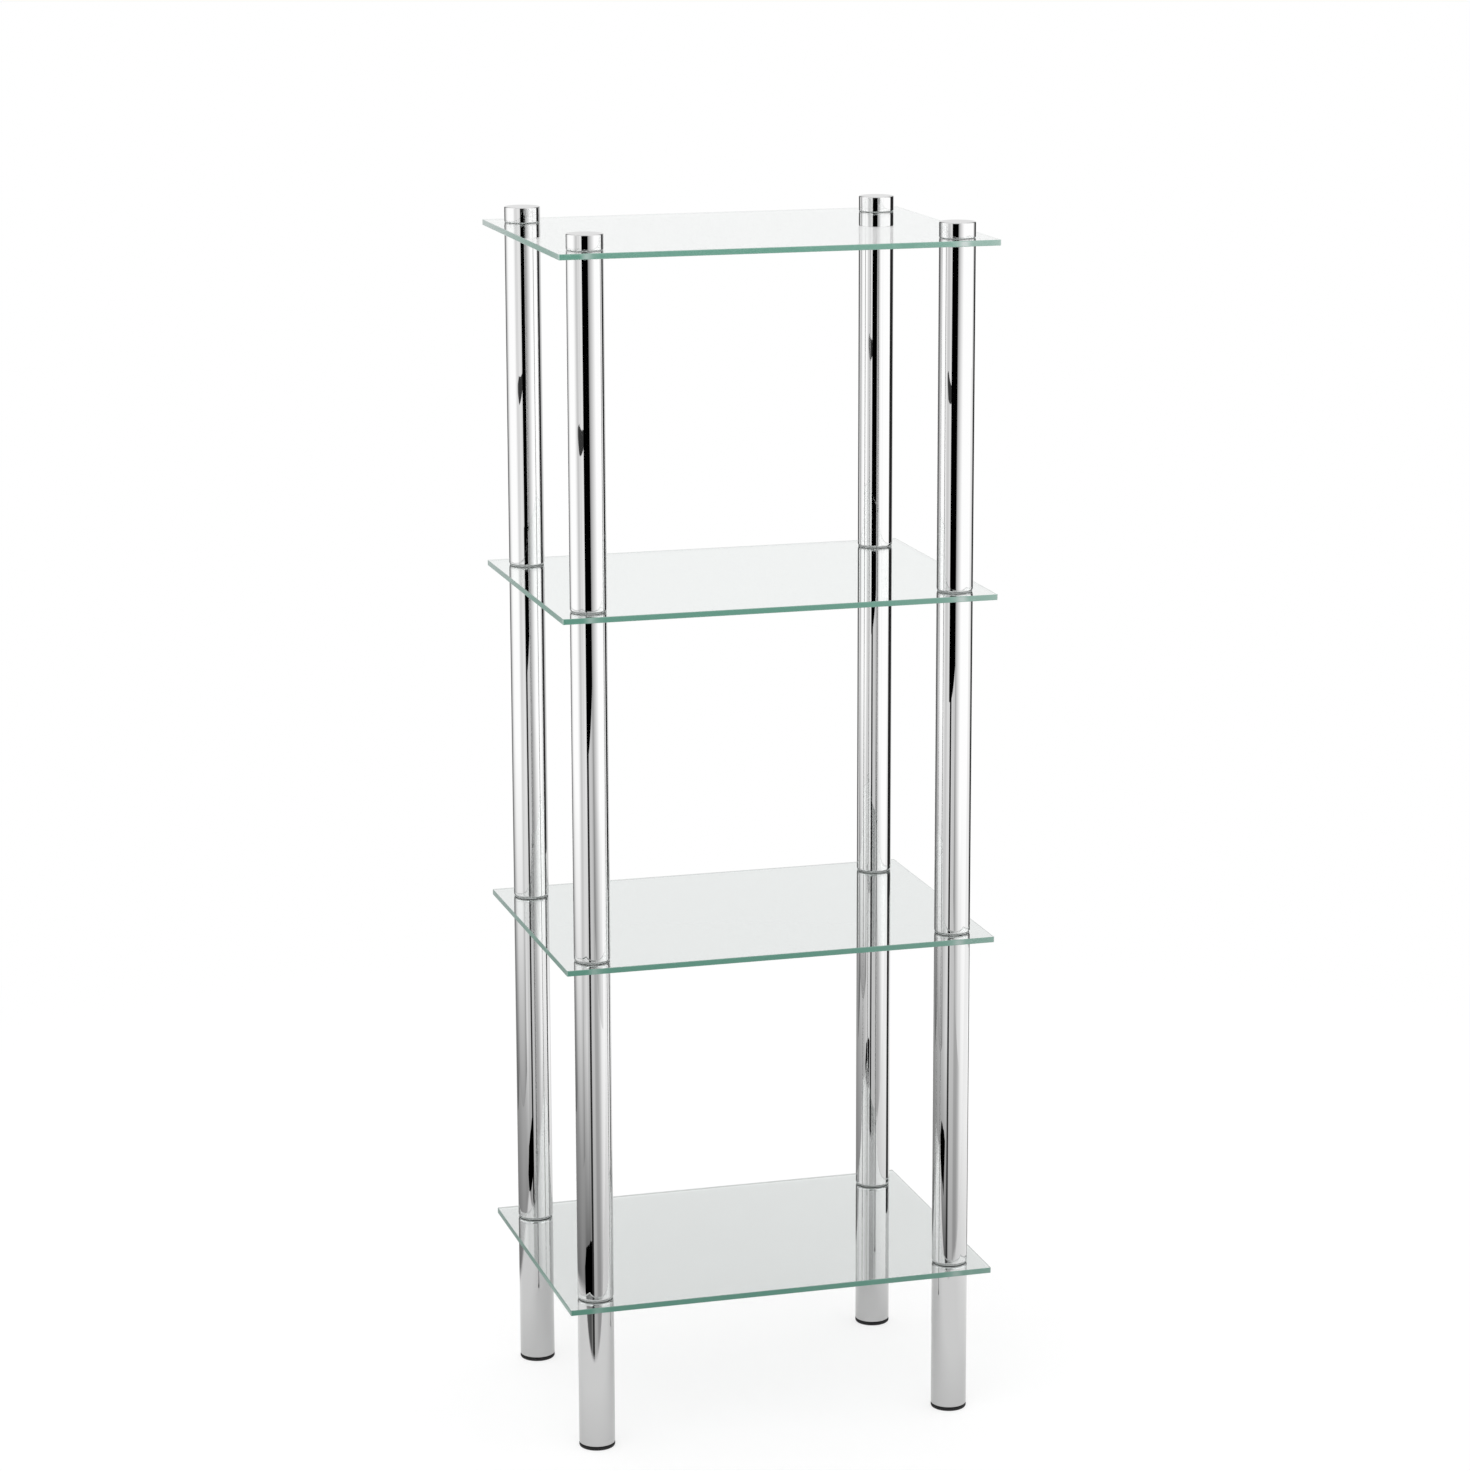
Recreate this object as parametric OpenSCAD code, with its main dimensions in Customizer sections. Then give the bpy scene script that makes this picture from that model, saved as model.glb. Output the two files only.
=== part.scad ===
// Free-standing shelving unit with clear glass shelves on four chromed posts.
// Each post is a stack: rubber foot pad, foot tube, then a glass shelf and a
// bay tube for every bay, and a flat cap on the top shelf. A threaded stud goes
// through each drilled hole in the glass and screws into the end plugs of the
// tubes above and below, so that the tubes clamp the glass between washers.
// Origin: on the floor, in the middle of the unit. +X right, +Y back, +Z up.

/* [Glass shelves] */
// Number of glass shelves
shelf_count = 4; // [2:1:5]
// Width of each shelf, from left to right
shelf_w = 390; // [250:5:800]
// Depth of each shelf, from front to back
shelf_d = 290; // [200:5:450]
// Thickness of the glass
glass_t = 5; // [3:0.5:10]
// Radius of the shelf corners, seen from above
corner_r = 2.5; // [1:0.5:15]
// Width of the ground arris along the upper and lower edges
arris_w = 0.5; // [0.2:0.1:1.2]
// Diameter of the holes drilled for the post joints
glass_hole_d = 12; // [11:0.5:16]

/* [Posts] */
// Distance from the shelf's edges to the axis of each post
post_inset = 30; // [20:1:60]
// Outside diameter of the post tubes, the caps and the foot pads
tube_d = 32; // [28:1:50]
// Wall of the post tubes
tube_wall = 1; // [0.8:0.1:1.4]
// Outer radius of the rolled tube ends
rolled_r = 1.8; // [1.6:0.1:2.6]
// Diameter of the opening that the rolled ends leave
end_bore_d = 20; // [18:0.5:22]
// Length of the tubes between two shelves
bay_tube_l = 303; // [120:1:450]
// Length of the tubes under the lowest shelf
foot_tube_l = 131; // [50:1:300]

/* [Caps and feet] */
// Height of the caps on the top shelf
cap_h = 13; // [10:0.5:30]
// Rounding of the caps' upper edge
cap_edge_r = 0.7; // [0.3:0.1:2]
// Rounding of the caps' lower edge, which is nearly sharp
cap_foot_r = 0.2; // [0.1:0.1:1]
// Metal left over the cap's blind threaded hole
cap_crown_t = 3; // [2:0.5:5]
// Thickness of the foot pads under the tubes
pad_h = 3; // [2:0.5:10]
// Rounding of the foot pads' lower edge
pad_edge_r = 1.6; // [0.5:0.1:2]
// Length of the spigot that holds a foot pad in its tube
pad_spigot_l = 10; // [6:0.5:20]
// Radius of the snap bead round the spigot
pad_bead_r = 1.2; // [0.6:0.1:1.8]

/* [Joints] */
// Thickness of the clear washers on both faces of the glass
washer_t = 0.5; // [0.3:0.1:3]
// How far the washers stand back from the tube's outside
washer_recess = 0.5; // [0.3:0.1:3]
// Diameter of the threaded studs
stud_d = 8; // [6:0.5:9]
// Length of stud that is screwed into each tube end
stud_grip_l = 12; // [8:0.5:20]
// Chamfer at both ends of the studs
stud_chamfer = 1; // [0.5:0.1:2]
// Length of the end plugs behind the rolled tube ends
plug_l = 14; // [8:0.5:20]

/* [Fits] */
// Radial gap between the studs and the threads that they screw into
thread_gap = 0.1; // [0.05:0.05:0.3]
// Radial gap round the end plugs and the pad spigots
plug_gap = 0.15; // [0.05:0.05:0.4]
// Gap along the axis between a rolled end and what it traps
seat_gap = 0.1; // [0.05:0.05:0.4]
// Radial gap between the bush collars and the glass
glass_gap = 0.3; // [0.1:0.05:0.6]
// Radial gap between the bush collars and the studs
collar_gap = 0.3; // [0.1:0.05:0.6]
// How far the bush collars end below the top of the glass
collar_step = 0.3; // [0.1:0.1:1]
// Gap between the top of a stud and the bottom of the cap's hole
stud_end_gap = 0.5; // [0.2:0.1:1.5]

/* [Hidden] */
$fn = 96;
// Overrun that carries a cutting shape past the face that it cuts
over = 1;

POSTS = ["front_left", "front_right", "back_left", "back_right"];
LEVELS = [1 : shelf_count];
BAYS = [1 : shelf_count - 1];

GLASS = "#d3e8e0";
CHROME = "#c8ccd1";
RUBBER = "#1c1c1e";
CLEAR_PVC = "#e6eef0";
ZINCED_STEEL = "#9da3a8";
NYLON = "#dcdcd4";

tube_r = tube_d / 2;
post_x = shelf_w / 2 - post_inset;
post_y = shelf_d / 2 - post_inset;
washer_d = tube_d - 2 * washer_recess;
stud_bore_d = stud_d + 2 * thread_gap;
// Height that each further shelf adds to the unit
pitch = glass_t + washer_t + bay_tube_l + washer_t;
cap_bore_l = cap_h - cap_crown_t;

// Underside of the glass of a shelf, counted from 1 at the bottom
function glass_z(level) = pad_h + foot_tube_l + washer_t + (level - 1) * pitch;

// Underside of what stands on a shelf: a bay tube, or the cap on the top one
function seat_z(level) = glass_z(level) + glass_t + washer_t;

// Length of stud above the upper washer: into a tube end, or into the cap
function stud_top_l(level) =
    level < shelf_count ? stud_grip_l : cap_bore_l - stud_end_gap;

// Axis of a post, by its place in POSTS
function post_xy(i) = [i % 2 == 0 ? -post_x : post_x, i < 2 ? -post_y : post_y];

// Stands the children on one post axis, with their base at height z
module on_post(i, z) {
    translate(concat(post_xy(i), z)) children();
}

// Stands the children on all four post axes
module on_each_post(z) {
    for (i = [0 : len(POSTS) - 1]) on_post(i, z) children();
}

// Right half of a turned piece whose outer corners have a radius each
module half_section(r, h, low_r, high_r) {
    square([r - low_r, h - high_r]);
    translate([0, low_r]) square([r - high_r, h - low_r]);
    translate([0, low_r]) square([r, h - low_r - high_r]);
    translate([r - low_r, low_r]) circle(low_r);
    translate([r - high_r, h - high_r]) circle(high_r);
}

// Post tube whose ends are rolled in over a quarter round, with a flat lip
module rolled_tube(length) {
    inner_r = rolled_r - tube_wall;
    rotate_extrude() difference() {
        half_section(tube_r, length, rolled_r, rolled_r);
        translate([0, tube_wall])
            half_section(tube_r - tube_wall, length - 2 * tube_wall, inner_r, inner_r);
        translate([0, -over]) square([end_bore_d / 2, length + 2 * over]);
    }
}

// Flat washer with the height and the bore that are given
module washer(h, bore_d) {
    difference() {
        cylinder(d = washer_d, h = h);
        translate([0, 0, -over]) cylinder(d = bore_d, h = h + 2 * over);
    }
}

// Outline of a shelf seen from above
module shelf_outline() {
    square([shelf_w - 2 * corner_r, shelf_d], center = true);
    square([shelf_w, shelf_d - 2 * corner_r], center = true);
    for (x = [-1, 1], y = [-1, 1])
        translate([x * (shelf_w / 2 - corner_r), y * (shelf_d / 2 - corner_r)])
            circle(corner_r);
}

// Section whose sloping sides cut a 45 degree arris on glass of this length.
// The slopes meet at half the thickness, outside the outline of the shelf.
module arris_section(length) {
    flat_x = length / 2 - arris_w;
    ridge_x = flat_x + glass_t / 2;
    polygon([
        [-flat_x, 0], [flat_x, 0], [ridge_x, glass_t / 2],
        [flat_x, glass_t], [-flat_x, glass_t], [-ridge_x, glass_t / 2]
    ]);
}

// Bar of the arris section, lying along the axis that it is turned to
module arris_bar(section_length, bar_length, turn) {
    rotate([90, 0, turn]) linear_extrude(bar_length + 2 * over, center = true)
        arris_section(section_length);
}

module glass_shelf(level) {
    color(GLASS) translate([0, 0, glass_z(level)]) difference() {
        intersection() {
            linear_extrude(glass_t) shelf_outline();
            arris_bar(shelf_w, shelf_d, 0);
            arris_bar(shelf_d, shelf_w, 90);
        }
        on_each_post(-over) cylinder(d = glass_hole_d, h = glass_t + 2 * over);
    }
}

module foot_tube(i) {
    color(CHROME) on_post(i, pad_h) rolled_tube(foot_tube_l);
}

module bay_tube(bay, i) {
    color(CHROME) on_post(i, seat_z(bay)) rolled_tube(bay_tube_l);
}

// Turned cap with a blind threaded hole for the topmost stud
module top_cap(i) {
    color(CHROME) on_post(i, seat_z(shelf_count)) rotate_extrude() difference() {
        half_section(tube_r, cap_h, cap_foot_r, cap_edge_r);
        translate([0, -over]) square([stud_bore_d / 2, cap_bore_l + over]);
    }
}

// Rubber pad whose spigot and snap bead hold it in the rolled end of its tube
module foot_pad(i) {
    spigot_r = end_bore_d / 2 - plug_gap;
    bead_z = pad_h + tube_wall + seat_gap + pad_bead_r;
    color(RUBBER) on_post(i, 0) rotate_extrude() {
        square([tube_r - pad_edge_r, pad_h]);
        translate([0, pad_edge_r]) square([tube_r, pad_h - pad_edge_r]);
        intersection() {
            translate([tube_r - pad_edge_r, pad_edge_r]) circle(pad_edge_r);
            square([tube_r, pad_h]);
        }
        square([spigot_r, pad_h + pad_spigot_l]);
        translate([spigot_r, bead_z]) circle(pad_bead_r);
    }
}

// Clear bushes under a shelf: a washer with a collar that lines the glass hole
module lower_bushes(level) {
    bore_d = stud_d + 2 * collar_gap;
    collar_d = glass_hole_d - 2 * glass_gap;
    color(CLEAR_PVC) on_each_post(glass_z(level) - washer_t) {
        washer(washer_t, bore_d);
        difference() {
            cylinder(d = collar_d, h = washer_t + glass_t - collar_step);
            translate([0, 0, -over]) cylinder(d = bore_d, h = washer_t + glass_t + 2 * over);
        }
    }
}

module upper_washers(level) {
    color(CLEAR_PVC) on_each_post(glass_z(level) + glass_t)
        washer(washer_t, stud_d + 2 * collar_gap);
}

// Threaded studs through one shelf, drawn at the outside of their threads
module studs(level) {
    r = stud_d / 2;
    length = stud_grip_l + 2 * washer_t + glass_t + stud_top_l(level);
    color(ZINCED_STEEL) on_each_post(glass_z(level) - washer_t - stud_grip_l)
        rotate_extrude() polygon([
            [0, 0], [r - stud_chamfer, 0], [r, stud_chamfer],
            [r, length - stud_chamfer], [r - stud_chamfer, length], [0, length]
        ]);
}

// Stepped plug with its boss in the opening of a rolled end. Its base is the
// boss's face, which is flush with the end of the tube, and the body is above.
module end_plug() {
    body_r = tube_r - tube_wall - plug_gap;
    edge_r = rolled_r - tube_wall + plug_gap;
    rotate_extrude() difference() {
        union() {
            square([end_bore_d / 2 - plug_gap, tube_wall + seat_gap + plug_l]);
            translate([0, tube_wall + seat_gap]) half_section(body_r, plug_l, edge_r, edge_r);
        }
        translate([0, -over])
            square([stud_bore_d / 2, tube_wall + seat_gap + plug_l + 2 * over]);
    }
}

// Plugs in the upper ends of the four tubes that carry a shelf
module upper_end_plugs(level) {
    color(NYLON) on_each_post(glass_z(level) - washer_t) mirror([0, 0, 1]) end_plug();
}

// Plugs in the lower ends of the four tubes that stand on a shelf
module lower_end_plugs(level) {
    color(NYLON) on_each_post(seat_z(level)) end_plug();
}

for (level = LEVELS) {
    glass_shelf(level);
    lower_bushes(level);
    upper_washers(level);
    studs(level);
}
for (i = [0 : len(POSTS) - 1]) {
    foot_tube(i);
    top_cap(i);
    foot_pad(i);
    for (bay = BAYS) {
        bay_tube(bay, i);
    }
}
upper_end_plugs(1);  // end_plugs_foot_tubes
for (bay = BAYS) {
    lower_end_plugs(bay);
    upper_end_plugs(bay + 1);
}
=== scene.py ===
import math

import bmesh
import bpy
from bpy.props import FloatProperty, FloatVectorProperty, PointerProperty
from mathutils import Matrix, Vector


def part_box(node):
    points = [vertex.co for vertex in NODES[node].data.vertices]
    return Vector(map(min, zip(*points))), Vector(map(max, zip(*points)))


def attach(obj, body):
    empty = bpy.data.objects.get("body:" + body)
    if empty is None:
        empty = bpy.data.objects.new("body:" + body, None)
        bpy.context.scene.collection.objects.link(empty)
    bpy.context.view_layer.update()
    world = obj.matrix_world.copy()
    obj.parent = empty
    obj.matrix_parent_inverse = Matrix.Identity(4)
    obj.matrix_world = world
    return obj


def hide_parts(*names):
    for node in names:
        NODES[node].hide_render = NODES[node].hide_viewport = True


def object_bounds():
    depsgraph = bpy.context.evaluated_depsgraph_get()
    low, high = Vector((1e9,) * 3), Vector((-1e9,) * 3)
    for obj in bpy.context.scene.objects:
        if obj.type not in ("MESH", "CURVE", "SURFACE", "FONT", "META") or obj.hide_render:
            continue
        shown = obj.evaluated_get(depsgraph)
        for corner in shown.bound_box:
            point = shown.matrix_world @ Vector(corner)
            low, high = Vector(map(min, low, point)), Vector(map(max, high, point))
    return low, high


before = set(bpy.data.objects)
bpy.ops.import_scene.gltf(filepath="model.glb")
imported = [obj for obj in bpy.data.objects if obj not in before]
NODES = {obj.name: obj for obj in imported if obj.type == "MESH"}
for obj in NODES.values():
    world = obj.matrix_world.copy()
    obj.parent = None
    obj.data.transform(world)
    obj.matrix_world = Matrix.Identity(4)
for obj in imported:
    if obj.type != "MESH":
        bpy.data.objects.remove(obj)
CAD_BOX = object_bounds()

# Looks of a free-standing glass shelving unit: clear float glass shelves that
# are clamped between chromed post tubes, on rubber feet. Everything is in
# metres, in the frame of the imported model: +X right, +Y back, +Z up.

bl_info = {
    "name": "Glass Shelving Unit",
    "version": (1, 0, 0),
    "blender": (4, 5, 0),
    "location": "3D View > Sidebar > Shelving Unit",
    "description": "Dresses the packed shelving unit in glass, chrome and rubber",
    "category": "Object",
}

POST_NAMES = ("front_left", "front_right", "back_left", "back_right")
LEVELS = [n.rsplit("_", 1)[1] for n in sorted(NODES) if n.startswith("glass_shelf_")]
MM = 0.001
# Width of the camera's sensor in millimetres, and how far it sees in metres.
SENSOR = 36.0
FAR_CLIP = 100.0


def linear(hex_colour):
    """Turns an sRGB hex colour into the linear RGB that Blender works in."""
    channels = [int(hex_colour[i : i + 2], 16) / 255 for i in (1, 3, 5)]
    return tuple(c / 12.92 if c <= 0.04045 else ((c + 0.055) / 1.055) ** 2.4 for c in channels)


def rgba(colour):
    return (*colour, 1.0)


def colour_prop(name, description, hex_colour):
    return FloatVectorProperty(
        name=name, description=description, default=linear(hex_colour),
        size=3, min=0, max=1, subtype="COLOR",
    )


def share_prop(name, description, default):
    return FloatProperty(
        name=name, description=description, default=default, min=0, max=1, subtype="FACTOR"
    )


def length_prop(name, description, default):
    return FloatProperty(
        name=name, description=description, default=default, min=0, unit="LENGTH",
        subtype="DISTANCE", precision=5,
    )


class GlassLook(bpy.types.PropertyGroup):
    """Finish of the shelves"""

    body: colour_prop("Glass", "Tint of the clear faces", "#FBFEFD")
    edge: colour_prop("Edge", "Green of an edge with the whole depth of glass behind it", "#5A9481")
    # Painted light: the pale green is where the edges are painted lighter.
    pale: colour_prop("Pale edge", "Green of an edge with little glass behind it", "#C4CFCC")
    # Painted shade: the edges are painted darker towards the floor.
    low: share_prop("Low edges", "Light on the edges at the floor, as a share of that at the top", 0.66)
    edge_share: share_prop("Edge cover", "How much of an edge is matt from the wheel", 0.97)
    inner_share: share_prop("Inner edge cover", "The same, seen through the glass", 0.3)
    edge_roughness: share_prop("Edge roughness", "Roughness of the ground edges", 0.3)
    scratch: length_prop("Grinding marks", "Spacing of the marks, drawn coarse enough to show", 0.8 * MM)


class ChromeLook(bpy.types.PropertyGroup):
    """Finish of the post tubes and caps"""

    plating: colour_prop("Plating", "Colour of the bright chromium", "#C7C7C7")
    roughness: share_prop("Roughness", "Roughness of the polished plating", 0.012)
    haze: share_prop("Haze", "Extra roughness where the plating has been handled", 0.012)
    haze_size: length_prop("Haze size", "Size of the handled patches", 30 * MM)
    wave: length_prop("Wave height", "Height of the polishing waves under the plating", 0.0015 * MM)
    wave_size: length_prop("Wave length", "Length of the polishing waves", 14 * MM)
    turning: length_prop("Turning marks", "Spacing of the rings on the caps, drawn coarse", 0.8 * MM)
    groove: length_prop("Groove depth", "Depth of the rings on the caps", 0.0012 * MM)


class SmallPartsLook(bpy.types.PropertyGroup):
    """Finish of the feet, bushes, studs and plugs"""

    rubber: colour_prop("Rubber", "Colour of the moulded feet", "#101011")
    rubber_grain: length_prop("Rubber grain", "Grain of the eroded mould", 0.35 * MM)
    pvc: colour_prop("PVC", "Tint of the clear bushes and washers", "#EEF4F2")
    zinc: colour_prop("Zinc", "Colour of the plated studs", "#B4BABF")
    nylon: colour_prop("Nylon", "Colour of the natural plugs", "#E3E0D2")
    thread_pitch: length_prop("Thread pitch", "Distance from one thread to the next", 1.25 * MM)


class StudioLook(bpy.types.PropertyGroup):
    """Camera, floor and light"""

    eye: FloatVectorProperty(
        name="Eye", description="Place of the camera", default=(-1.0425, -3.6681, 1.4782),
        size=3, unit="LENGTH", subtype="TRANSLATION",
    )
    turn: FloatProperty(
        name="Turn", description="How far the camera looks to its left of straight ahead",
        default=math.radians(-16.659), unit="ROTATION", subtype="ANGLE",
    )
    tilt: FloatProperty(
        name="Tilt", description="How far the camera looks down",
        default=math.radians(12.5), unit="ROTATION", subtype="ANGLE",
    )
    lens: FloatProperty(name="Lens", description="Focal length", default=106.7, unit="CAMERA")
    shift_x: FloatProperty(name="Shift X", description="Sideways lens shift", default=-0.042)
    shift_y: FloatProperty(name="Shift Y", description="Upward lens shift", default=-0.015)
    floor: colour_prop("Floor", "Colour of the floor and the backdrop", "#FFFFFF")
    shadow: share_prop("Shadow", "How much of the object's shadow the floor shows", 0.3)
    shadow_fade: length_prop("Shadow reach", "Where the floor's shadow has faded out", 1.6)
    floor_r: length_prop("Floor radius", "Radius of the floor", 7.0)
    board_r: length_prop("Board radius", "Radius of the round end of the board", 0.44)
    sun: FloatProperty(
        name="Key light", description="Strength of the soft key light", default=0.5, min=0
    )
    sun_width: FloatProperty(
        name="Key width", description="Angle that the key light spreads over",
        default=math.radians(50), unit="ROTATION", subtype="ANGLE",
    )
    sun_turn: FloatVectorProperty(
        name="Key turn", description="Turn of the key light from straight above",
        default=(math.radians(30), math.radians(-20), 0), size=3, unit="ROTATION",
        subtype="EULER",
    )


class ShelfUnit(bpy.types.PropertyGroup):
    """Everything that can be changed"""

    glass: PointerProperty(type=GlassLook)
    chrome: PointerProperty(type=ChromeLook)
    small: PointerProperty(type=SmallPartsLook)
    studio: PointerProperty(type=StudioLook)


def add(tree, kind, inputs=None, stops=None, **settings):
    """Adds a node, sets it and links it. An input may be a value, a socket or a node.

    Ramp stops are pairs of place and grey. A new ramp has its first two already.
    """
    node = tree.nodes.new("ShaderNode" + kind)
    for name, value in settings.items():
        setattr(node, name, value)
    for key, value in (inputs or {}).items():
        if isinstance(value, bpy.types.Node):
            value = value.outputs[0]
        if isinstance(value, bpy.types.NodeSocket):
            tree.links.new(value, node.inputs[key])
        else:
            node.inputs[key].default_value = value
    for i, (place, grey) in enumerate(stops or ()):
        ramp = node.color_ramp.elements
        stop = ramp[i] if i < 2 else ramp.new(place)
        stop.position = place
        stop.color = (grey, grey, grey, 1)
    return node


def new_material(name):
    """Makes an empty material and returns it with its node tree and output."""
    material = bpy.data.materials.new(name)
    material.use_nodes = True
    material.node_tree.nodes.clear()
    return material, material.node_tree, add(material.node_tree, "OutputMaterial")


def dress(material, *starts):
    """Gives the material to the CAD nodes whose names start so."""
    found = [o for n, o in NODES.items() if n.startswith(starts)]
    if not found:
        raise RuntimeError(f"no CAD node starts with {starts}")
    for o in found:
        for slot in o.material_slots:
            slot.material = material


def post_axis(post):
    """Where a post stands on the plan, from the box of its foot pad."""
    low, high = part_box("foot_pad_" + post)
    return ((low[0] + high[0]) / 2, (low[1] + high[1]) / 2)


def folded_axis():
    """Where every post stands once the quarters of the plan are folded on one another."""
    return (*(abs(c) for c in post_axis(POST_NAMES[0])), 0.0)


def add_mesh(name, verts, faces, material=None):
    mesh = bpy.data.meshes.new(name)
    mesh.from_pydata(verts, [], faces)
    if material:
        mesh.materials.append(material)
    mesh.update()
    obj = bpy.data.objects.new(name, mesh)
    bpy.context.scene.collection.objects.link(obj)
    return obj


# How pale the green is along a front edge, from left to right in metres, and
# along a side edge, from front to back. The paleness is painted light: a drilled
# hole close behind the edge breaks the depth of glass and lets light in, and so
# does the corner that the look ends in; a side edge is painted paler towards the
# back. The back and the other side are the same, turned half round. REACH is how
# far the stops may lie from the middle.
ALONG_FRONT = [
    (-0.195, 0), (-0.177, 0), (-0.171, .6), (-0.165, .2), (-0.158, .03), (0.0, 0), (0.136, .12),
    (0.150, .22), (0.156, .5), (0.160, 1), (0.163, 1), (0.168, .4), (0.182, .32), (0.195, .5),
]
ALONG_SIDE = [
    (-0.145, .55), (-0.115, .42), (-0.07, .36), (-0.03, .4), (0.015, .55), (0.06, .75), (0.145, 1),
]
REACH = 0.2
# The up and down share of a normal, over which glass is an arris or a face, and
# the sideways share, over which an edge is at the side.
ARRIS_LEVEL = 0.35
FACE_LEVEL = 0.85
SIDE_SHARE = 0.6
# Painted highlight: how much paler the arrises are than the flat of the edge.
ARRIS_PAINTED_HIGHLIGHT = 0.25
GLASS_IOR = 1.52
GRIND_DEPTH = 0.05 * MM


def along_stops(rows):
    """Ramp stops from rows of place along an edge and paleness."""
    return [((place + REACH) / (2 * REACH), pale) for place, pale in rows]


def edge_painted_light(tree, at, way, level):
    """Painted light on an edge: how pale its green is, by the way it faces and the place along it."""
    swapped = add(tree, "CombineXYZ", {0: way[1], 1: way[0]})
    flat = add(tree, "CombineXYZ", {0: at[0], 1: at[1]})
    along = add(tree, "VectorMath", {0: flat, 1: swapped}, operation="DOT_PRODUCT").outputs["Value"]
    stop = add(tree, "MapRange", {"Value": along, "From Min": REACH, "From Max": -REACH})
    along_front = add(tree, "ValToRGB", {0: stop}, along_stops(ALONG_FRONT))
    along_side = add(tree, "ValToRGB", {0: stop}, along_stops(ALONG_SIDE))
    sideways = add(tree, "Math", {0: way[0]}, operation="ABSOLUTE")
    is_side = add(tree, "Math", {0: sideways, 1: SIDE_SHARE}, operation="GREATER_THAN")
    pale = add(tree, "Mix", {0: is_side, 6: along_front, 7: along_side}, data_type="RGBA")
    is_arris = add(tree, "Math", {0: level, 1: ARRIS_LEVEL}, operation="GREATER_THAN")
    return add(
        tree, "Math", {0: is_arris, 1: ARRIS_PAINTED_HIGHLIGHT, 2: pale.outputs[2]}, operation="MULTIPLY_ADD"
    )


def edge_green(tree, look, at, paleness, marks):
    """Colour of an edge, with painted shade: it gets darker and less pale towards the floor."""
    # Painted shade: less light on the edges lower down, from the low share at the floor to the whole at
    # the top.
    lit = add(tree, "MapRange", {
        "Value": at[2], "From Max": CAD_BOX[1][2], "To Min": look.low, "To Max": 1.0,
    })
    squared = add(tree, "Math", {0: lit, 1: lit}, operation="MULTIPLY")
    pale = add(tree, "Math", {0: paleness, 1: squared}, operation="MULTIPLY")
    green = add(tree, "Mix", {0: pale, 6: rgba(look.edge), 7: rgba(look.pale)}, data_type="RGBA")
    grain = add(tree, "MapRange", {"Value": marks, "To Min": 0.93, "To Max": 1.07})
    grain_and_painted_shade = add(tree, "Math", {0: grain, 1: lit}, operation="MULTIPLY")
    return add(
        tree, "Mix", {0: 1.0, 6: green.outputs[2], 7: grain_and_painted_shade}, data_type="RGBA", blend_type="MULTIPLY"
    ).outputs[2]


# Clear float glass, cut, with edges ground flat on a diamond wheel and the
# arrises taken off. The faces are fire-polished, so they mirror and show what
# is behind them; the ground edges scatter the green of the iron in the glass.
# From inside the glass an edge lets most of the light straight through.
# The ground edges also carry painted light where holes and corners let light in, a painted highlight on
# the arrises and painted shade towards the floor.
def make_glass(look):
    material, tree, out = new_material("Clear float glass")
    place = add(tree, "TexCoord").outputs["Object"]
    at = add(tree, "SeparateXYZ", {0: place}).outputs
    geometry = add(tree, "NewGeometry").outputs
    way = add(tree, "SeparateXYZ", {0: geometry["Normal"]}).outputs
    level = add(tree, "Math", {0: way[2]}, operation="ABSOLUTE")
    clear = add(tree, "BsdfPrincipled", {
        "Base Color": rgba(look.body), "Roughness": 0.0, "IOR": GLASS_IOR,
        "Transmission Weight": 1.0,
    })
    marks = add(tree, "TexNoise", {"Vector": place, "Scale": 1 / look.scratch, "Detail": 2.0})
    dent = add(tree, "Bump", {"Strength": 0.15, "Distance": GRIND_DEPTH, "Height": marks})
    paleness = edge_painted_light(tree, at, way, level)
    ground = add(tree, "BsdfPrincipled", {
        "Base Color": edge_green(tree, look, at, paleness, marks),
        "Roughness": look.edge_roughness, "IOR": GLASS_IOR, "Normal": dent,
    })
    is_edge = add(tree, "Math", {0: level, 1: FACE_LEVEL}, operation="LESS_THAN")
    inside = geometry["Backfacing"]
    inner_edge = add(tree, "Math", {0: is_edge, 1: inside}, operation="MULTIPLY")
    body = add(tree, "MixShader", {0: inner_edge, 1: clear, 2: add(tree, "BsdfTransparent")})
    cover = add(tree, "Mix", {0: inside, 2: look.edge_share, 3: look.inner_share}, data_type="FLOAT")
    share = add(tree, "Math", {0: is_edge, 1: cover.outputs[0]}, operation="MULTIPLY")
    both = add(tree, "MixShader", {0: share, 1: body, 2: ground})
    tree.links.new(both.outputs[0], out.inputs["Surface"])
    return material


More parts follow.
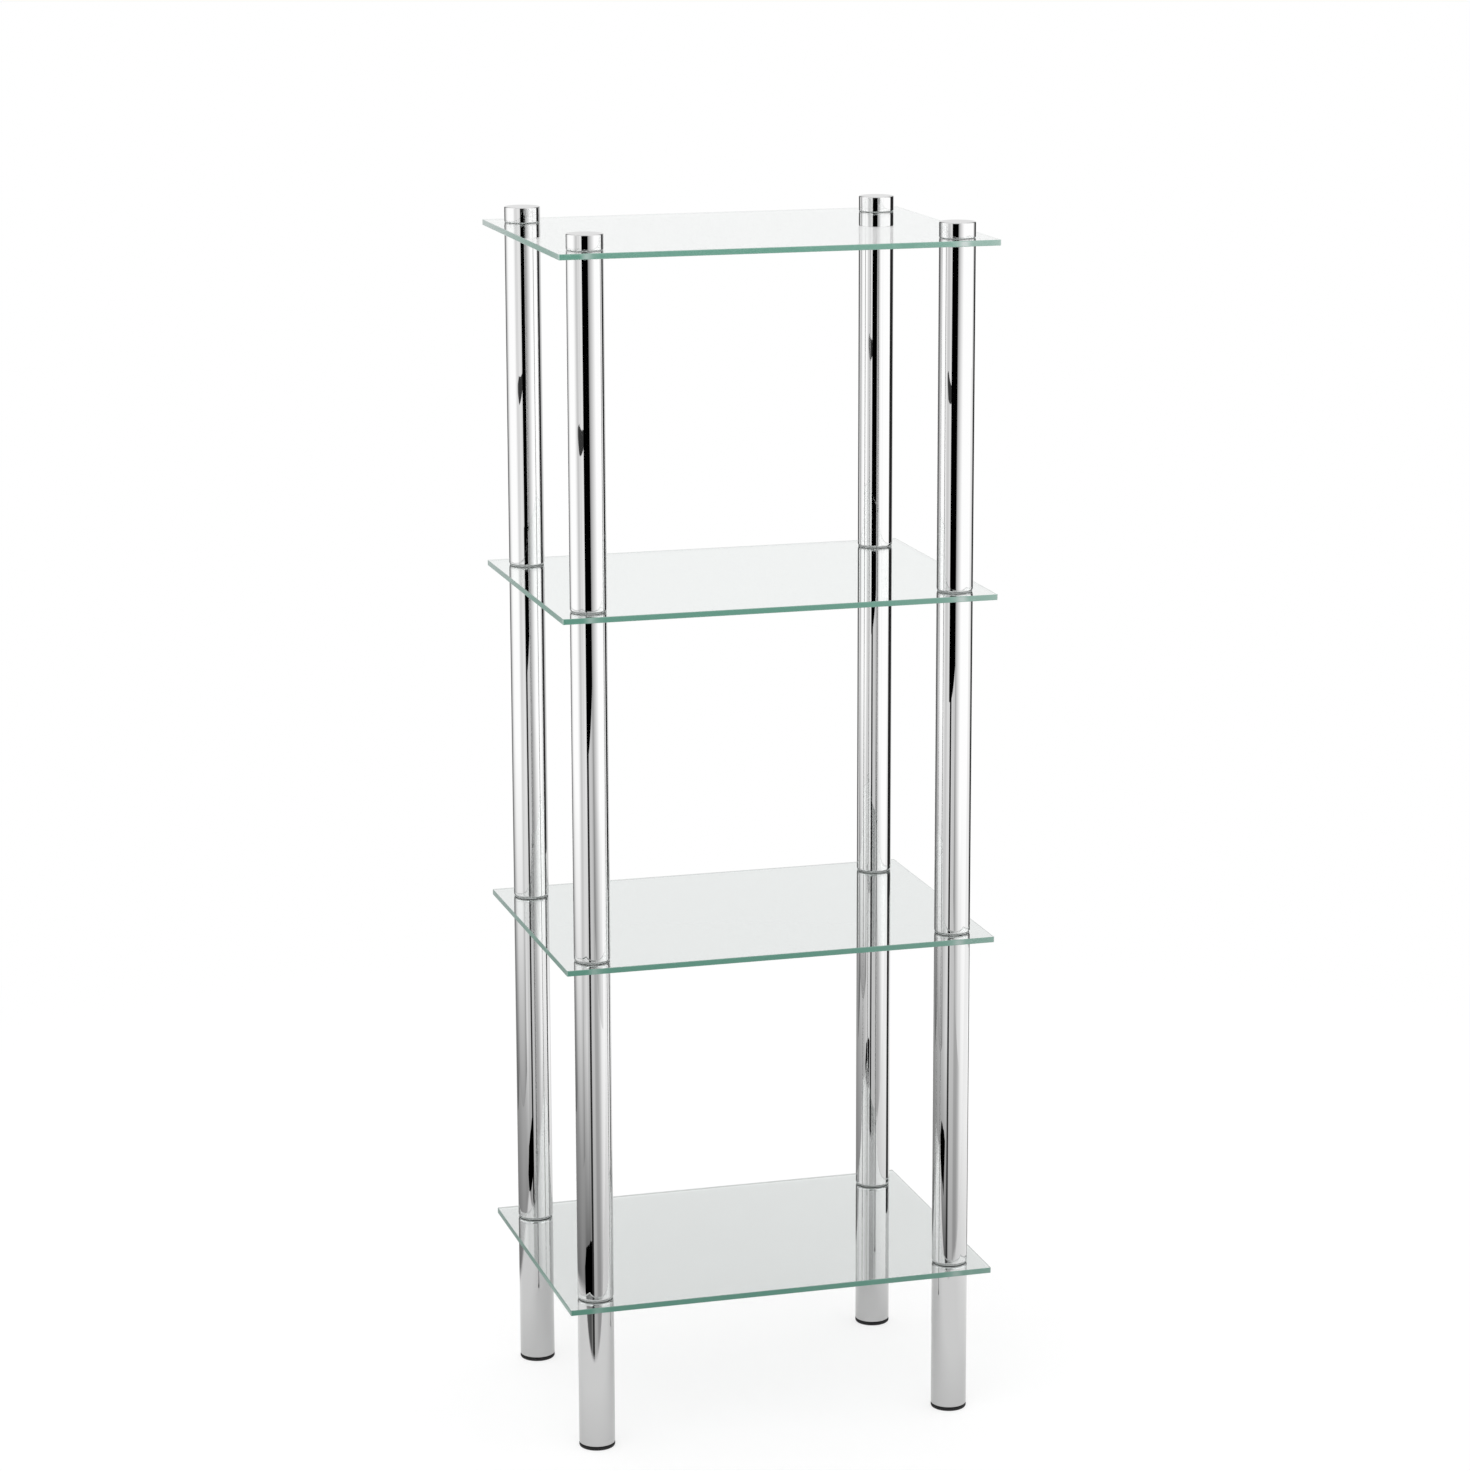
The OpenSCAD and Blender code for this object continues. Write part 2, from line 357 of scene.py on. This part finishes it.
# Bright nickel and chromium plate on polished steel tube. It mirrors the room;
# the tube was polished before plating, so long faint waves bend the mirror and
# handling leaves patches that are a little hazier. A cap's flat top was faced
# on a lathe, so it has fine rings round its axis, drawn coarse enough to show.
def make_chrome(look, name, rings=False):
    material, tree, out = new_material(name)
    place = add(tree, "TexCoord").outputs["Object"]
    patches = add(tree, "TexNoise", {"Vector": place, "Scale": 1 / look.haze_size, "Detail": 4.0})
    haze = add(tree, "MapRange", {
        "Value": patches, "From Min": 0.4, "From Max": 0.75,
        "To Min": look.roughness, "To Max": look.roughness + look.haze,
    })
    waves = add(tree, "TexNoise", {"Vector": place, "Scale": 1 / look.wave_size, "Detail": 1.0})
    shape = add(tree, "Bump", {"Strength": 1.0, "Distance": look.wave, "Height": waves})
    if rings:
        quarter = add(tree, "VectorMath", {0: place}, operation="ABSOLUTE")
        from_axis = add(tree, "VectorMath", {0: quarter, 1: folded_axis()}, operation="SUBTRACT")
        on_plan = add(tree, "VectorMath", {0: from_axis, 1: (1.0, 1.0, 0.0)}, operation="MULTIPLY")
        out_from_axis = add(tree, "VectorMath", {0: on_plan}, operation="LENGTH").outputs["Value"]
        turns = add(tree, "Math", {0: out_from_axis, 1: math.tau / look.turning}, operation="MULTIPLY")
        grooves = add(tree, "Math", {0: turns}, operation="SINE")
        shape = add(tree, "Bump", {
            "Strength": 1.0, "Distance": look.groove, "Height": grooves, "Normal": shape,
        })
    metal = add(tree, "BsdfPrincipled", {
        "Base Color": rgba(look.plating), "Metallic": 1.0, "Roughness": haze, "Normal": shape,
    })
    tree.links.new(metal.outputs[0], out.inputs["Surface"])
    return material


RUBBER_RELIEF = 0.05 * MM


# Black rubber, moulded in an eroded steel mould: dull, with a fine even grain.
def make_rubber(look):
    material, tree, out = new_material("Moulded black rubber")
    place = add(tree, "TexCoord").outputs["Object"]
    grain = add(tree, "TexNoise", {"Vector": place, "Scale": 1 / look.rubber_grain, "Detail": 3.0})
    rough = add(tree, "MapRange", {"Value": grain, "To Min": 0.5, "To Max": 0.75})
    skin = add(tree, "Bump", {"Strength": 0.3, "Distance": RUBBER_RELIEF, "Height": grain})
    body = add(tree, "BsdfPrincipled", {
        "Base Color": rgba(look.rubber), "Roughness": rough, "Specular IOR Level": 0.35, "Normal": skin,
    })
    tree.links.new(body.outputs[0], out.inputs["Surface"])
    return material


PVC_IOR = 1.53
PVC_CLOUD = 2 * MM


# Plasticised clear PVC, injection moulded: soft, glossy and a little cloudy.
def make_pvc(look):
    material, tree, out = new_material("Clear moulded PVC")
    place = add(tree, "TexCoord").outputs["Object"]
    cloud = add(tree, "TexNoise", {"Vector": place, "Scale": 1 / PVC_CLOUD, "Detail": 2.0})
    rough = add(tree, "MapRange", {"Value": cloud, "To Min": 0.15, "To Max": 0.35})
    body = add(tree, "BsdfPrincipled", {
        "Base Color": rgba(look.pvc), "Roughness": rough, "IOR": PVC_IOR,
        "Transmission Weight": 0.35,
    })
    tree.links.new(body.outputs[0], out.inputs["Surface"])
    return material


ZINC_PATCH = 1.5 * MM


# Rolled steel thread with bright zinc plate: grey, softly shining, faintly blue.
def make_zinc(look):
    material, tree, out = new_material("Zinc plated steel")
    place = add(tree, "TexCoord").outputs["Object"]
    patches = add(tree, "TexNoise", {"Vector": place, "Scale": 1 / ZINC_PATCH, "Detail": 3.0})
    rough = add(tree, "MapRange", {"Value": patches, "To Min": 0.25, "To Max": 0.42})
    body = add(tree, "BsdfPrincipled", {
        "Base Color": rgba(look.zinc), "Metallic": 1.0, "Roughness": rough,
    })
    tree.links.new(body.outputs[0], out.inputs["Surface"])
    return material


NYLON_IOR = 1.53
NYLON_CLOUD = 3 * MM
# How far light travels under the skin.
NYLON_GLOW = 1.5 * MM


# Natural polyamide, moulded: milky, waxy and slightly translucent.
def make_nylon(look):
    material, tree, out = new_material("Natural moulded nylon")
    place = add(tree, "TexCoord").outputs["Object"]
    cloud = add(tree, "TexNoise", {"Vector": place, "Scale": 1 / NYLON_CLOUD, "Detail": 2.0})
    rough = add(tree, "MapRange", {"Value": cloud, "To Min": 0.38, "To Max": 0.52})
    body = add(tree, "BsdfPrincipled", {
        "Base Color": rgba(look.nylon), "Roughness": rough, "IOR": NYLON_IOR,
        "Subsurface Weight": 0.2, "Subsurface Scale": NYLON_GLOW,
    })
    tree.links.new(body.outputs[0], out.inputs["Surface"])
    return material


class UNIT_OT_glass(bpy.types.Operator):
    """Give the shelves their glass with ground edges"""

    bl_idname = "shelf_unit.glass"
    bl_label = "Glass Shelves"

    def execute(self, context):
        dress(make_glass(context.scene.shelf_unit.glass), "glass_shelf_")
        return {"FINISHED"}


class UNIT_OT_tubes(bpy.types.Operator):
    """Plate the post tubes"""

    bl_idname = "shelf_unit.tubes"
    bl_label = "Post Tubes"

    def execute(self, context):
        look = context.scene.shelf_unit.chrome
        dress(make_chrome(look, "Chromed steel tube"), "foot_tube_", "bay_")
        return {"FINISHED"}


class UNIT_OT_caps(bpy.types.Operator):
    """Plate the turned caps"""

    bl_idname = "shelf_unit.caps"
    bl_label = "Top Caps"

    def execute(self, context):
        look = context.scene.shelf_unit.chrome
        dress(make_chrome(look, "Chromed turned cap", rings=True), "top_cap_")
        return {"FINISHED"}


class UNIT_OT_feet(bpy.types.Operator):
    """Give the foot pads their rubber"""

    bl_idname = "shelf_unit.feet"
    bl_label = "Foot Pads"

    def execute(self, context):
        dress(make_rubber(context.scene.shelf_unit.small), "foot_pad_")
        return {"FINISHED"}


# Depth of a metric thread, as a share of its pitch. The flat at the root takes a
# quarter of the pitch, the crest an eighth, and the two flanks the rest.
THREAD_DEPTH = 0.6134
ROOT_END = 1 / 4
CREST_START = 9 / 16
CREST_END = 11 / 16
STUD_CHAMFER = 1 * MM
# Points that lie closer to a cut, or to one another, count as on it or as one.
CUT_REACH = 1e-7
WELD_REACH = 1e-6


def wind_thread(mesh, radius, pitch, length, steps):
    """Winds the open skin of a thread, which runs past both ends of the stud."""
    root = radius - THREAD_DEPTH * pitch
    profile = [(0.0, root), (ROOT_END, root), (CREST_START, radius), (CREST_END, radius)]
    turns = math.ceil(length / pitch) + 2
    rows = turns * len(profile)
    columns = []
    for i in range(steps):
        turn = i * math.tau / steps
        column = []
        for k in range(rows):
            part, r = profile[k % len(profile)]
            z = (k // len(profile) - 1 + part + i / steps) * pitch
            column.append(mesh.verts.new((r * math.cos(turn), r * math.sin(turn), z)))
        columns.append(column)
    for i in range(steps):
        # The last column meets the first one a whole turn of the thread higher.
        shift = 0 if i + 1 < steps else len(profile)
        column = columns[i]
        after = columns[(i + 1) % steps]
        for k in range(rows - 1 - shift):
            j = k + shift
            mesh.faces.new((column[k], after[j], after[j + 1], column[k + 1]))


def thread_piece(radius, pitch, length, steps=32):
    """Makes a stud with a rolled thread, from z = 0 up, as a bmesh."""
    mesh = bmesh.new()
    wind_thread(mesh, radius, pitch, length, steps)
    for z, out in ((0.0, -1), (length, 1)):
        everything = mesh.verts[:] + mesh.edges[:] + mesh.faces[:]
        bmesh.ops.bisect_plane(
            mesh, geom=everything, dist=CUT_REACH, plane_co=(0, 0, z), plane_no=(0, 0, out),
            clear_outer=True,
        )
    for vert in mesh.verts:
        limit = radius - STUD_CHAMFER + min(vert.co.z, length - vert.co.z)
        r = math.hypot(vert.co.x, vert.co.y)
        if r > limit:
            vert.co.x *= limit / r
            vert.co.y *= limit / r
    bmesh.ops.remove_doubles(mesh, verts=mesh.verts[:], dist=WELD_REACH)
    bmesh.ops.holes_fill(mesh, edges=[e for e in mesh.edges if e.is_boundary], sides=0)
    bmesh.ops.recalc_face_normals(mesh, faces=mesh.faces[:])
    return mesh


def thread_studs(level, look, material):
    """Replaces the plain studs through one shelf with threaded ones."""
    node = "studs_shelf_" + level
    low, high = (Vector(corner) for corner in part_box(node))
    radius = high.x - post_axis("front_right")[0]
    stud = thread_piece(radius, look.thread_pitch, high.z - low.z)
    stud.verts.index_update()
    verts = []
    faces = []
    for post in POST_NAMES:
        x, y = post_axis(post)
        first = len(verts)
        verts += [(v.co.x + x, v.co.y + y, v.co.z + low.z) for v in stud.verts]
        faces += [[first + v.index for v in face.verts] for face in stud.faces]
    stud.free()
    piece = add_mesh("threaded_studs_shelf_" + level, verts, faces, material)
    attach(piece, "root")
    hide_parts(node)


class UNIT_OT_joints(bpy.types.Operator):
    """Thread the studs, and give the bushes, washers, studs and end plugs their finishes"""

    bl_idname = "shelf_unit.joints"
    bl_label = "Clamped Joints"

    def execute(self, context):
        look = context.scene.shelf_unit.small
        dress(make_pvc(look), "lower_bushes_", "upper_washers_")
        dress(make_nylon(look), "end_plugs_")
        zinc = make_zinc(look)
        for level in LEVELS:
            thread_studs(level, look, zinc)
        return {"FINISHED"}


# What the chrome mirrors of the room, by azimuth in degrees (0 is the front, 90
# the right), for rays that go level, lower and lowest. Each value is half the
# radiance, to stay within a ramp. The room lies lower than the white board that
# the unit stands on, so the lowest rays pass beyond the board and see the dim
# floor of the room. The glass, which mirrors weakly, sees an even white room.
HALF = 0.5
DOUBLE = 2.0
SEEN_LEVEL = [
    (-180, .08), (-153, .08), (-143, .8), (-82, .85), (-76, .52), (-66, .5), (-56, .64),
    (-52, .55), (-48, .66), (-36, .66), (-25, .5), (-8, .5), (4, .35), (14, .45), (26, .8),
    (34, .87), (92, .87), (97, .8), (102, .6), (108, .4), (124, .4), (140, .5), (180, .5),
]
SEEN_LOWER = [
    (-180, .15), (-165, .2), (-150, .25), (-80, .4), (-62, .52), (-50, .6), (-42, .45),
    (-28, .5), (-20, .46), (-7, .46), (1, .32), (16, .33), (28, .45), (42, .72), (54, .79),
    (120, .78), (140, .5), (180, .4),
]
SEEN_LOWEST = [
    (-180, .08), (-165, .12), (-140, .12), (-100, .18), (-82, .16), (-70, .08), (-45, .05),
    (-32, .2), (-25, .34), (-6, .33), (4, .23), (18, .23), (30, .34), (42, .52), (60, .6), (92, .6),
    (112, .45), (140, .42), (180, .2),
]
# The same for the rays that go steeply down, all round.
SEEN_STEEP = [(-180, .45), (180, .45)]
# The slopes at which each of the four is seen alone. Between them they blend.
LEVEL_SLOPE = -0.24
LOWER_SLOPE = -0.30
LOWEST_SLOPE = -0.36
STEEP_SLOPE = -0.8
# Half of how much of that is left, by the slope at which a ray goes up. It holds
# in the part of the round behind the unit, and all round for the glass.
UPWARD = [
    (0.0, .5), (0.06, .5), (0.11, .46), (0.2, .405), (0.28, .285), (0.36, .06), (0.5, .06),
    (0.65, .45), (1.0, .5),
]
BEHIND = [(-180, 1), (-152, 1), (-138, 0), (108, 0), (124, 1), (180, 1)]


def around(rows):
    """Ramp stops from rows of azimuth and value."""
    return [((azimuth + 180) / 360, value) for azimuth, value in rows]


def mirrored_ray(tree):
    """1 for rays that a surface has mirrored, 0 for all others."""
    bounced = add(tree, "LightPath").outputs["Glossy Depth"]
    return add(tree, "Math", {0: bounced, 1: 0.5}, operation="GREATER_THAN")


def off_glass_ray(tree):
    """1 for rays whose one mirror so far is the glass, which is the only smooth one."""
    path = add(tree, "LightPath").outputs
    first = add(tree, "Math", {0: path["Glossy Depth"], 1: 1.0, 2: 0.5}, operation="COMPARE")
    smooth = add(tree, "Math", {0: first, 1: path["Is Singular Ray"]}, operation="MULTIPLY")
    return add(tree, "Math", {0: smooth, 1: path["Is Reflection Ray"]}, operation="MULTIPLY")


def ray_way(tree):
    """Azimuth of a ray, as its place on a ramp all round, and the slope at which it goes up."""
    ray = add(tree, "SeparateXYZ", {0: add(tree, "TexCoord").outputs["Generated"]}).outputs
    front = add(tree, "Math", {0: ray[1], 1: -1.0}, operation="MULTIPLY")
    azimuth = add(tree, "Math", {0: ray[0], 1: front}, operation="ARCTAN2")
    turned = add(tree, "MapRange", {"Value": azimuth, "From Min": -math.pi, "From Max": math.pi})
    xx = add(tree, "Math", {0: ray[0], 1: ray[0]}, operation="MULTIPLY")
    run_squared = add(tree, "Math", {0: ray[1], 1: ray[1], 2: xx}, operation="MULTIPLY_ADD")
    run = add(tree, "Math", {0: run_squared, 1: 0.5}, operation="POWER")
    return turned, add(tree, "Math", {0: ray[2], 1: run}, operation="DIVIDE")


def room_seen(tree, turned, slope):
    """What the chrome mirrors of the room, from the steepest rays up to the level ones."""
    seen = add(tree, "ValToRGB", {0: turned}, around(SEEN_STEEP)).outputs[0]
    steps = [
        (STEEP_SLOPE, LOWEST_SLOPE, SEEN_LOWEST), (LOWEST_SLOPE, LOWER_SLOPE, SEEN_LOWER),
        (LOWER_SLOPE, LEVEL_SLOPE, SEEN_LEVEL),
    ]
    for low, high, rows in steps:
        share = add(tree, "MapRange", {"Value": slope, "From Min": low, "From Max": high})
        higher = add(tree, "ValToRGB", {0: turned}, around(rows))
        seen = add(tree, "Mix", {0: share, 6: seen, 7: higher}, data_type="RGBA").outputs[2]
    return seen


def make_world(look):
    world = bpy.data.worlds.new("Studio")
    world.use_nodes = True
    tree = world.node_tree
    tree.nodes.clear()
    turned, slope = ray_way(tree)
    room = room_seen(tree, turned, slope)
    off_glass = off_glass_ray(tree)
    even = rgba((HALF, HALF, HALF))
    seen = add(tree, "Mix", {0: off_glass, 6: room, 7: even}, data_type="RGBA").outputs[2]
    behind_unit = add(tree, "ValToRGB", {0: turned}, around(BEHIND))
    behind = add(tree, "Math", {0: behind_unit, 1: off_glass}, operation="MAXIMUM")
    upward = add(tree, "ValToRGB", {0: slope}, UPWARD)
    left_over = add(tree, "Mix", {0: behind, 2: HALF, 3: upward}, data_type="FLOAT")
    share = add(
        tree, "Mix", {0: 1.0, 6: seen, 7: left_over}, data_type="RGBA", blend_type="MULTIPLY"
    )
    studio = add(tree, "Background", {0: share.outputs[2], 1: DOUBLE * DOUBLE})
    plain = add(tree, "Background", {0: rgba(look.floor), 1: 1.0})
    both = add(tree, "MixShader", {0: mirrored_ray(tree), 1: plain, 2: studio})
    add(tree, "OutputWorld", {"Surface": both})
    bpy.context.scene.world = world


# The white board that the unit stands on, for mirrored rays: its front edge is
# a straight line, given by its direction outward and its distance from the
# unit's axis. Its left end is round, about BOARD_END, and it runs on to the
# right as far as the floor does.
BOARD_FRONT = (-0.406, -0.914, 0.0)
BOARD_FRONT_OUT = 0.43
BOARD_END = (-0.15, -0.10)
EDGE_BLUR = 0.03
# For mirrored rays the board has painted shade beside the feet and a little less
# further out, and painted light towards the right: the distances where each
# change starts and ends, and what it takes or gives.
SHADE_AT = (0.02, 0.16)
SHADE = (0.25, 0.08)
LIGHTER_AT = (0.3, 1.0)
LIGHTER = 0.55
# Distance from the middle where the floor's shadow starts to fade.
FADE_FROM = 0.5
FLOOR_DROP = 0.1 * MM
FLOOR_SIDES = 96


def board_shade(tree, place):
    """Painted shade on the board in a mirror, by the place on it: what it loses of its light beside the
    feet, less the painted light to the right.
    """
    quarter = add(tree, "VectorMath", {0: place}, operation="ABSOLUTE")
    past_feet = add(tree, "VectorMath", {0: quarter, 1: folded_axis()}, operation="SUBTRACT")
    beside = add(tree, "VectorMath", {0: past_feet, 1: (0.0, 0.0, 0.0)}, operation="MAXIMUM")
    from_feet = add(tree, "VectorMath", {0: beside}, operation="LENGTH").outputs["Value"]
    shade = add(tree, "MapRange", {
        "Value": from_feet, "From Min": SHADE_AT[0], "From Max": SHADE_AT[1],
        "To Min": SHADE[0], "To Max": SHADE[1],
    })
    lighter = add(tree, "MapRange", {
        "Value": add(tree, "SeparateXYZ", {0: place}).outputs[0],
        "From Min": LIGHTER_AT[0], "From Max": LIGHTER_AT[1], "To Min": 0.0, "To Max": LIGHTER,
    })
    return add(tree, "Math", {0: shade, 1: lighter}, operation="SUBTRACT")


def beyond_board(tree, look, place):
    """1 for the floor beyond the board's front edge and round end, 0 on the board."""
    forward = add(tree, "VectorMath", {0: place, 1: BOARD_FRONT}, operation="DOT_PRODUCT")
    off_front = add(tree, "MapRange", {
        "Value": forward.outputs["Value"],
        "From Min": BOARD_FRONT_OUT - EDGE_BLUR, "From Max": BOARD_FRONT_OUT,
    }, interpolation_type="SMOOTHSTEP")
    at = add(tree, "SeparateXYZ", {0: place}).outputs
    sideways = add(tree, "Math", {0: at[0], 1: BOARD_END[0]}, operation="SUBTRACT")
    left = add(tree, "Math", {0: sideways, 1: 0.0}, operation="MINIMUM")
    back = add(tree, "Math", {0: at[1], 1: BOARD_END[1]}, operation="SUBTRACT")
    end_out = add(tree, "CombineXYZ", {0: left, 1: back})
    from_end = add(tree, "VectorMath", {0: end_out}, operation="LENGTH").outputs["Value"]
    off_end = add(tree, "MapRange", {
        "Value": from_end,
        "From Min": look.board_r - EDGE_BLUR, "From Max": look.board_r + EDGE_BLUR,
    }, interpolation_type="SMOOTHSTEP")
    return add(tree, "Math", {0: off_front, 1: off_end}, operation="MAXIMUM")


# White painted board, matt. It glows in place of a lit backdrop, evenly for direct
# sight and with painted shade and painted light for mirrored rays; it shows the
# unit's shadow near the middle, and lets mirrored rays past beyond the board.
def make_floor(look):
    material, tree, out = new_material("White studio floor")
    place = add(tree, "NewGeometry").outputs["Position"]
    mirrored = mirrored_ray(tree)
    shade = add(tree, "Math", {0: board_shade(tree, place), 1: mirrored}, operation="MULTIPLY")
    strength = add(tree, "Math", {0: 1.0, 1: shade}, operation="SUBTRACT")
    glow = add(tree, "Emission", {0: rgba(look.floor), 1: strength})
    matt = add(tree, "BsdfDiffuse", {0: rgba(look.floor)})
    out_from_middle = add(tree, "VectorMath", {0: place}, operation="LENGTH").outputs["Value"]
    shown = add(tree, "MapRange", {
        "Value": out_from_middle, "From Min": FADE_FROM, "From Max": look.shadow_fade,
        "To Min": look.shadow, "To Max": 0.0,
    }, interpolation_type="SMOOTHSTEP")
    white = add(tree, "MixShader", {0: shown, 1: glow, 2: matt})
    beyond = beyond_board(tree, look, place)
    let_past = add(tree, "Math", {0: beyond, 1: mirrored}, operation="MULTIPLY")
    both = add(tree, "MixShader", {0: let_past, 1: white, 2: add(tree, "BsdfTransparent")})
    tree.links.new(both.outputs[0], out.inputs["Surface"])
    turns = [i * math.tau / FLOOR_SIDES for i in range(FLOOR_SIDES)]
    ring = [(look.floor_r * math.cos(t), look.floor_r * math.sin(t), -FLOOR_DROP) for t in turns]
    add_mesh("studio_floor", ring, [tuple(range(FLOOR_SIDES))], material)


# Outlines of the cards, as shares of their run and their rise.
OBLONG = [(0, 0), (1, 0), (1, 1), (0, 1)]
ARM = [(0, .36), (.3, 0), (1, .25), (1, .85), (.3, 1), (0, .6)]
EVEN = [(0, 1), (1, 1)]
BLACK = [(0, 0), (1, 0)]
# Cards and soft boxes round the unit, which only rays mirrored by the chrome see:
# name, the two ends on the plan, lowest and highest point, half the radiance
# along the card and the share of it from bottom to top, as ramp stops, and the
# outline where it isn't an oblong.
CARDS = [
    ("soft_box_left", (-0.970, -0.360), (-0.950, 0.620), 0.0, 2.0,
     [(0, .52), (.08, .65), (.2, .8), (.3, .87), (.8, .86), (1, .8)],
     [(0, .3), (.05, .5), (.095, .7), (.125, .8), (.15, .87), (.2, 1)]),
    ("soft_box_back_left", (-0.950, 0.620), (-0.470, 0.820), 0.0, 2.0,
     [(0, .83), (.15, .78), (.4, .62), (.6, .48), (.8, .32), (1, .18)],
     [(0, .2), (.05, .4), (.095, .6), (.125, .72), (.15, .82), (.2, 1)]),
    ("black_card", (-0.640, -0.820), (-0.080, -1.360), 0.43, 2.0, BLACK, EVEN),
    ("card_arm", (-1.020, -0.420), (-0.640, -0.820), 0.760, 0.793,
     [(0, .3), (.1, .08), (.3, .03), (1, .03)], EVEN, ARM),
    ("stand", (-0.997, -1.337), (-0.723, -1.503), -1.2, 0.5, [(0, .02), (1, .02)], EVEN),
    ("grey_card", (-0.080, -1.360), (0.500, -0.587), 0.15, 2.0,
     [(0, .22), (.105, .3), (.23, .37), (.385, .48), (.475, .53), (.57, .6), (.61, .64),
      (.75, .75), (.81, .83), (.88, .87)],
     [(0, .68), (.04, .74), (.1, .88), (.13, 1)]),
    ("black_flag_right", (0.690, 0.080), (0.600, 0.480), 0.28, 2.0, [(0, .015), (1, .015)], EVEN),
    ("flag_stand", (0.462, 0.094), (0.440, 0.245), 0.01, 0.36, [(0, .02), (1, .02)], EVEN),
]
# The dark gap between the board and the room, as a patch on the plan, and its
# height over the floor.
DARK_GAP = [
    (-0.37, -0.42), (-0.47, -0.60), (-0.56, -0.53), (-0.65, -0.39), (-0.69, -0.28),
    (-0.65, -0.17), (-0.58, -0.18), (-0.50, -0.27), (-0.44, -0.36),
]
GAP_Z = 1 * MM


def dress_card(card, along, up):
    """Lights a card and hides it from all but the rays that the chrome mirrors."""
    material, tree, out = new_material("Studio " + card.name)
    across = add(tree, "SeparateXYZ", {0: add(tree, "TexCoord").outputs["Generated"]}).outputs
    sideways = add(tree, "ValToRGB", {0: across[0]}, along)
    upward = add(tree, "ValToRGB", {0: across[2]}, up)
    share = add(tree, "Math", {0: sideways, 1: upward}, operation="MULTIPLY")
    light = add(tree, "Math", {0: share, 1: DOUBLE}, operation="MULTIPLY")
    glow = add(tree, "Emission", {0: rgba((1, 1, 1)), 1: light})
    off_chrome = add(
        tree, "Math", {0: mirrored_ray(tree), 1: off_glass_ray(tree)}, operation="SUBTRACT"
    )
    both = add(tree, "MixShader", {0: off_chrome, 1: add(tree, "BsdfTransparent"), 2: glow})
    tree.links.new(both.outputs[0], out.inputs["Surface"])
    card.data.materials.append(material)
    card.visible_camera = card.visible_diffuse = card.visible_shadow = False


def make_card(name, start, end, low, high, along, up, outline=OBLONG):
    """Stands a card between two points of the plan."""
    run = Vector(end) - Vector(start)
    corners = [(share * run.length, 0, height * (high - low)) for share, height in outline]
    card = add_mesh(name, corners, [tuple(range(len(corners)))])
    card.location = (*start, low)
    card.rotation_euler = (0, 0, math.atan2(run.y, run.x))
    dress_card(card, along, up)


def make_camera(look):
    data = bpy.data.cameras.new("Camera")
    data.sensor_width = SENSOR
    data.lens = look.lens
    data.shift_x = look.shift_x
    data.shift_y = look.shift_y
    data.clip_end = FAR_CLIP
    camera = bpy.data.objects.new("Camera", data)
    camera.location = look.eye
    camera.rotation_euler = (math.pi / 2 - look.tilt, 0, look.turn)
    bpy.context.scene.collection.objects.link(camera)
    bpy.context.scene.camera = camera


def make_key_light(look):
    lamp = bpy.data.lights.new("Key light", "SUN")
    lamp.energy = look.sun
    lamp.angle = look.sun_width
    key = bpy.data.objects.new("Key light", lamp)
    key.rotation_euler = look.sun_turn
    key.visible_glossy = False
    bpy.context.scene.collection.objects.link(key)


class UNIT_OT_stage(bpy.types.Operator):
    """Set up the camera, the floor, the studio and the light"""

    bl_idname = "shelf_unit.stage"
    bl_label = "Stage"

    def execute(self, context):
        look = context.scene.shelf_unit.studio
        context.scene.view_settings.view_transform = "Standard"
        make_camera(look)
        make_world(look)
        make_floor(look)
        for card in CARDS:
            make_card(*card)
        patch = [(x, y, GAP_Z) for x, y in DARK_GAP]
        dress_card(add_mesh("dark_gap", patch, [tuple(range(len(patch)))]), BLACK, EVEN)
        make_key_light(look)
        return {"FINISHED"}


class UNIT_PT_panel(bpy.types.Panel):
    """Lists the pieces of the shelving unit"""

    bl_label = "Glass Shelving Unit"
    bl_idname = "UNIT_PT_panel"
    bl_space_type = "VIEW_3D"
    bl_region_type = "UI"
    bl_category = "Shelving Unit"

    def draw(self, context):
        for kind in OPERATORS:
            self.layout.operator(kind.bl_idname)


OPERATORS = [UNIT_OT_stage, UNIT_OT_glass, UNIT_OT_tubes, UNIT_OT_caps, UNIT_OT_feet, UNIT_OT_joints]
CLASSES = [GlassLook, ChromeLook, SmallPartsLook, StudioLook, ShelfUnit, *OPERATORS, UNIT_PT_panel]


def register():
    for kind in CLASSES:
        bpy.utils.register_class(kind)
    bpy.types.Scene.shelf_unit = PointerProperty(type=ShelfUnit)


def unregister():
    del bpy.types.Scene.shelf_unit
    for kind in reversed(CLASSES):
        bpy.utils.unregister_class(kind)


def main():
    register()
    for kind in OPERATORS:
        group, name = kind.bl_idname.split(".")
        getattr(getattr(bpy.ops, group), name)()


if __name__ == "__main__":
    main()
